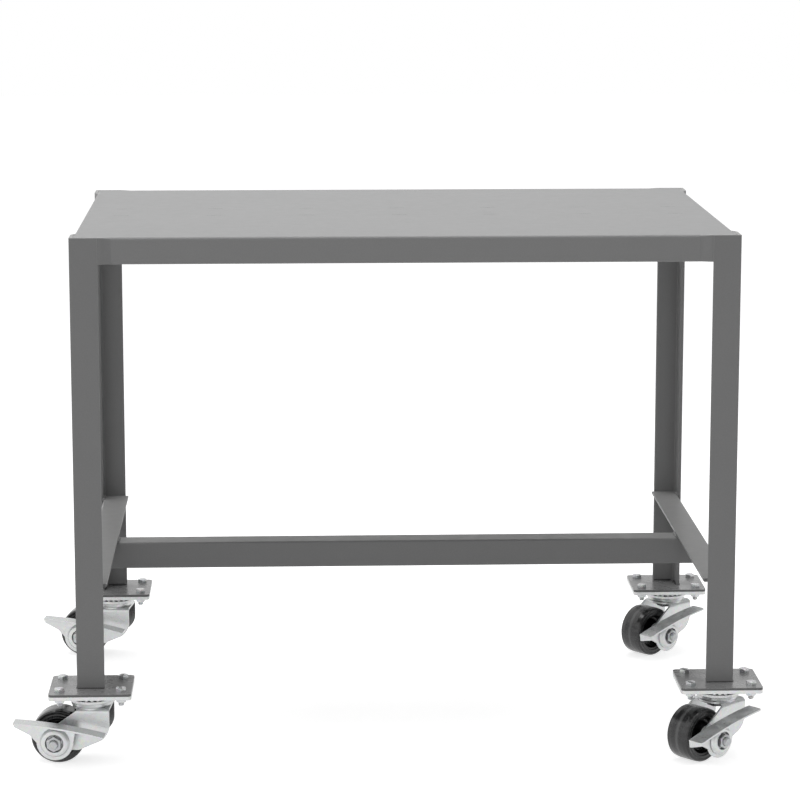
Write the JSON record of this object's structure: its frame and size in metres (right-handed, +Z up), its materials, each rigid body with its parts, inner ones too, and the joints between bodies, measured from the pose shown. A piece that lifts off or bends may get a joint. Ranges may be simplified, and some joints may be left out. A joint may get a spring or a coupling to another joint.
{
  "type": "mobile machine table",
  "caption": "Rectangular sheet-steel table on angle-steel legs with H-form lower stretchers and braked swivel plate casters.",
  "frame": {"origin": "on the floor, under the middle of the table frame", "axes": "+X to the table's right along its long side, +Y to the rear, +Z up"},
  "size_m": [1.0427, 0.7436, 0.7366],
  "materials": {
    "deck_paint": "grey baked enamel with a fine orange peel, semi-gloss",
    "frame_paint": "grey baked enamel over rolled steel angle, semi-gloss",
    "caster_zinc": "bright zinc plating on stamped steel, soft sheen",
    "fastener_zinc": "zinc plated hexagon hardware",
    "ball_steel": "polished hardened steel balls, greased",
    "bush_bronze": "sintered bronze, oiled",
    "phenolic": "black moulded phenolic, satin, slightly mottled"
  },
  "bodies": {
    "table": {"deck": "deck_paint", "deck_stiffener": "deck_paint", "leg_front_left": "frame_paint", "leg_front_right": "frame_paint", "leg_rear_left": "frame_paint", "leg_rear_right": "frame_paint", "side_stretcher_left": "frame_paint", "side_stretcher_right": "frame_paint", "center_stretcher": "frame_paint", "leg_plate_fl": "frame_paint", "leg_plate_fr": "frame_paint", "leg_plate_rl": "frame_paint", "leg_plate_rr": "frame_paint", "mount_bolts": "fastener_zinc", "mount_nuts": "fastener_zinc", "kingpins": "fastener_zinc", "caster_plate_fl": "caster_zinc", "caster_plate_fr": "caster_zinc", "caster_plate_rl": "caster_zinc", "caster_plate_rr": "caster_zinc"},
    "swivel_fl": {"swivel_fork_fl": "caster_zinc", "swivel_balls_fl": "ball_steel", "axle_bolt_fl": "fastener_zinc", "axle_nut_fl": "fastener_zinc", "pressure_disc_fl": "caster_zinc"},
    "roller_fl": {"wheel_fl": "phenolic", "hub_bearing_fl": "bush_bronze"},
    "lever_fl": {"brake_lever_fl": "caster_zinc", "brake_cam_fl": "caster_zinc"},
    "shoe_fl": {"brake_shoe_fl": "caster_zinc"},
    "swivel_fr": {"swivel_fork_fr": "caster_zinc", "swivel_balls_fr": "ball_steel", "axle_bolt_fr": "fastener_zinc", "axle_nut_fr": "fastener_zinc", "pressure_disc_fr": "caster_zinc"},
    "roller_fr": {"wheel_fr": "phenolic", "hub_bearing_fr": "bush_bronze"},
    "lever_fr": {"brake_lever_fr": "caster_zinc", "brake_cam_fr": "caster_zinc"},
    "shoe_fr": {"brake_shoe_fr": "caster_zinc"},
    "swivel_rl": {"swivel_fork_rl": "caster_zinc", "swivel_balls_rl": "ball_steel", "axle_bolt_rl": "fastener_zinc", "axle_nut_rl": "fastener_zinc", "pressure_disc_rl": "caster_zinc"},
    "roller_rl": {"wheel_rl": "phenolic", "hub_bearing_rl": "bush_bronze"},
    "lever_rl": {"brake_lever_rl": "caster_zinc", "brake_cam_rl": "caster_zinc"},
    "shoe_rl": {"brake_shoe_rl": "caster_zinc"},
    "swivel_rr": {"swivel_fork_rr": "caster_zinc", "swivel_balls_rr": "ball_steel", "axle_bolt_rr": "fastener_zinc", "axle_nut_rr": "fastener_zinc", "pressure_disc_rr": "caster_zinc"},
    "roller_rr": {"wheel_rr": "phenolic", "hub_bearing_rr": "bush_bronze"},
    "lever_rr": {"brake_lever_rr": "caster_zinc", "brake_cam_rr": "caster_zinc"},
    "shoe_rr": {"brake_shoe_rr": "caster_zinc"}
  },
  "joints": [
    {"name": "swivel_turn_fl", "type": "hinge", "parent": "table", "child": "swivel_fl", "pos_m": [-0.43815, -0.28575, 0.081], "axis": [0, 0, 1], "continuous": true},
    {"name": "wheel_spin_fl", "type": "hinge", "parent": "swivel_fl", "child": "roller_fl", "pos_m": [-0.48401, -0.28214, 0.0381], "axis": [-0.0785, -0.9969, 0], "continuous": true},
    {"name": "brake_rock_fl", "type": "hinge", "parent": "swivel_fl", "child": "lever_fl", "pos_m": [-0.48401, -0.28214, 0.0381], "axis": [-0.0785, -0.9969, 0], "range_deg": [0, 20]},
    {"name": "shoe_press_fl", "type": "slide", "parent": "swivel_fl", "child": "shoe_fl", "axis": [0.0785, 0.9969, 0], "range_m": [0, 0.0011]},
    {"name": "swivel_turn_fr", "type": "hinge", "parent": "table", "child": "swivel_fr", "pos_m": [0.43815, -0.28575, 0.081], "axis": [0, 0, 1], "continuous": true},
    {"name": "wheel_spin_fr", "type": "hinge", "parent": "swivel_fr", "child": "roller_fr", "pos_m": [0.40317, -0.31562, 0.0381], "axis": [0.6494, -0.7604, 0], "continuous": true},
    {"name": "brake_rock_fr", "type": "hinge", "parent": "swivel_fr", "child": "lever_fr", "pos_m": [0.40317, -0.31562, 0.0381], "axis": [0.6494, -0.7604, 0], "range_deg": [-20, 0]},
    {"name": "shoe_press_fr", "type": "slide", "parent": "swivel_fr", "child": "shoe_fr", "axis": [-0.6494, 0.7604, 0], "range_m": [-0.0011, 0]},
    {"name": "swivel_turn_rl", "type": "hinge", "parent": "table", "child": "swivel_rl", "pos_m": [-0.43815, 0.28575, 0.081], "axis": [0, 0, 1], "continuous": true},
    {"name": "wheel_spin_rl", "type": "hinge", "parent": "swivel_rl", "child": "roller_rl", "pos_m": [-0.4837, 0.29215, 0.0381], "axis": [-0.1392, -0.9903, 0], "continuous": true},
    {"name": "brake_rock_rl", "type": "hinge", "parent": "swivel_rl", "child": "lever_rl", "pos_m": [-0.4837, 0.29215, 0.0381], "axis": [-0.1392, -0.9903, 0], "range_deg": [0, 20]},
    {"name": "shoe_press_rl", "type": "slide", "parent": "swivel_rl", "child": "shoe_rl", "axis": [0.1392, 0.9903, 0], "range_m": [0, 0.0011]},
    {"name": "swivel_turn_rr", "type": "hinge", "parent": "table", "child": "swivel_rr", "pos_m": [0.43815, 0.28575, 0.081], "axis": [0, 0, 1], "continuous": true},
    {"name": "wheel_spin_rr", "type": "hinge", "parent": "swivel_rr", "child": "roller_rr", "pos_m": [0.40317, 0.25588, 0.0381], "axis": [0.6494, -0.7604, 0], "continuous": true},
    {"name": "brake_rock_rr", "type": "hinge", "parent": "swivel_rr", "child": "lever_rr", "pos_m": [0.40317, 0.25588, 0.0381], "axis": [0.6494, -0.7604, 0], "range_deg": [-20, 0]},
    {"name": "shoe_press_rr", "type": "slide", "parent": "swivel_rr", "child": "shoe_rr", "axis": [-0.6494, 0.7604, 0], "range_m": [-0.0011, 0]}
  ],
  "couplings": [
    {"joint": "shoe_press_fl", "follows": "brake_rock_fl", "m_per_rad": 0.0031513},
    {"joint": "shoe_press_fr", "follows": "brake_rock_fr", "m_per_rad": 0.0031513},
    {"joint": "shoe_press_rl", "follows": "brake_rock_rl", "m_per_rad": 0.0031513},
    {"joint": "shoe_press_rr", "follows": "brake_rock_rr", "m_per_rad": 0.0031513}
  ]
}
